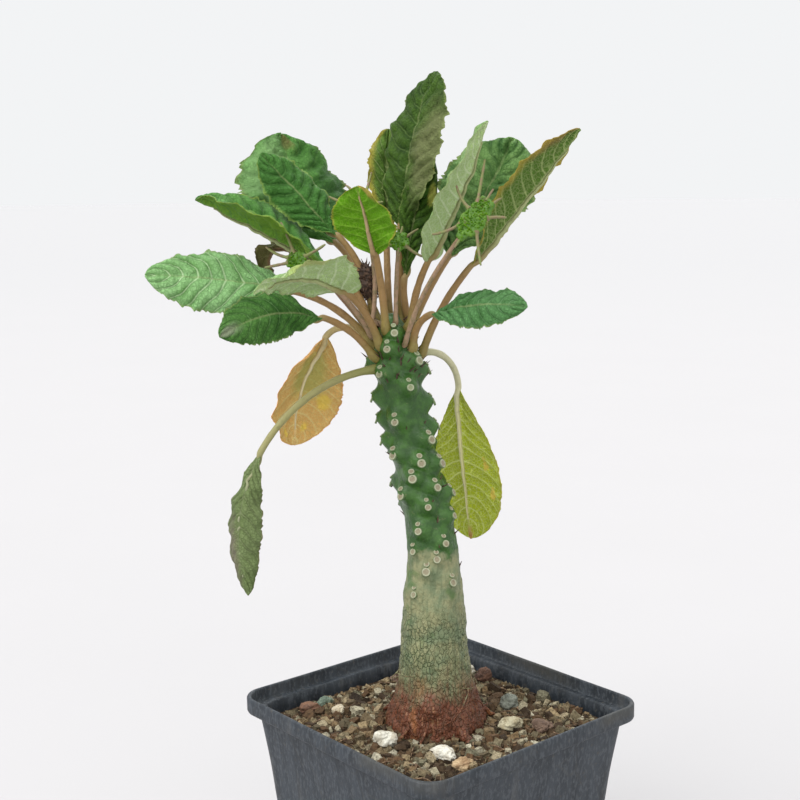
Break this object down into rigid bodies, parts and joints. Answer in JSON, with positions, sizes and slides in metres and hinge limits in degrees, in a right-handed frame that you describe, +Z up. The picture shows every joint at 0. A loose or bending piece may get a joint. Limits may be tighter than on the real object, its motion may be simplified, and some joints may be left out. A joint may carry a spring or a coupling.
{
  "type": "potted dorstenia",
  "caption": "Square nursery pot of gritty compost holding a knobbly, leaning succulent stem with a crown of toothed, puckered leaves and small disc-shaped flower heads.",
  "frame": {"origin": "middle of the pot's flat underside", "axes": "+Z up along the pot's middle; the pot's sides face +X, -X, +Y and -Y; the plant is turned -40.7 degrees about Z, so it is seen as in the reference view from the corner between -X and -Y"},
  "size_m": [0.1229, 0.1105, 0.2913],
  "materials": {
    "pot": "moulded blue-black plastic with fine upright streaks and a paler, worn rim",
    "grit": "loose pumice, bark and fired clay grains",
    "stem": "waxy green skin with pale ring scars above, cracked grey-tan bark and a rusty fibrous foot below",
    "leaf_green": "puckered satin leaf with pale veins and a toothed edge",
    "leaf_yellow": "ageing satin leaf, yellow-green to orange, with resin spots",
    "leaf_dry": "crumpled dry leaf",
    "flower": "bumpy lime-green disc with thin pinkish arms",
    "pebble_pale": "pale dusty pumice",
    "pebble_dark": "rough brown and grey-green stone",
    "bark": "flaky dark bark"
  },
  "bodies": {
    "root": {"flower_back": "flower", "flower_left": "flower", "flower_middle": "flower", "flower_right": "flower", "grit": "grit", "leaf_back_left_broad": "leaf_green", "leaf_back_right_broad": "leaf_green", "leaf_drooping_long": "leaf_green", "leaf_front_bright": "leaf_green", "leaf_front_left_pale": "leaf_green", "leaf_hanging_orange": "leaf_yellow", "leaf_hanging_yellow": "leaf_yellow", "leaf_left_folded": "leaf_green", "leaf_left_inner": "leaf_green", "leaf_left_low_broad": "leaf_green", "leaf_left_low_dark": "leaf_green", "leaf_right_low": "leaf_green", "leaf_right_narrow": "leaf_green", "leaf_right_yellowing": "leaf_yellow", "leaf_spotted_back": "leaf_green", "leaf_tall_back": "leaf_green", "leaf_thin_back_left": "leaf_green", "leaf_withered": "leaf_dry", "pot": "pot", "stem": "stem", "stone_bark_back": "bark", "stone_brown_right": "pebble_dark", "stone_cream_left": "pebble_pale", "stone_green_left": "pebble_dark", "stone_grey_right": "pebble_dark", "stone_pale_back": "pebble_pale", "stone_pale_right": "pebble_pale", "stone_rust_back": "pebble_dark", "stone_rust_left": "pebble_dark", "stone_tan_front": "pebble_dark", "stone_white_front": "pebble_pale", "stone_white_left": "pebble_pale"}
  },
  "joints": []
}
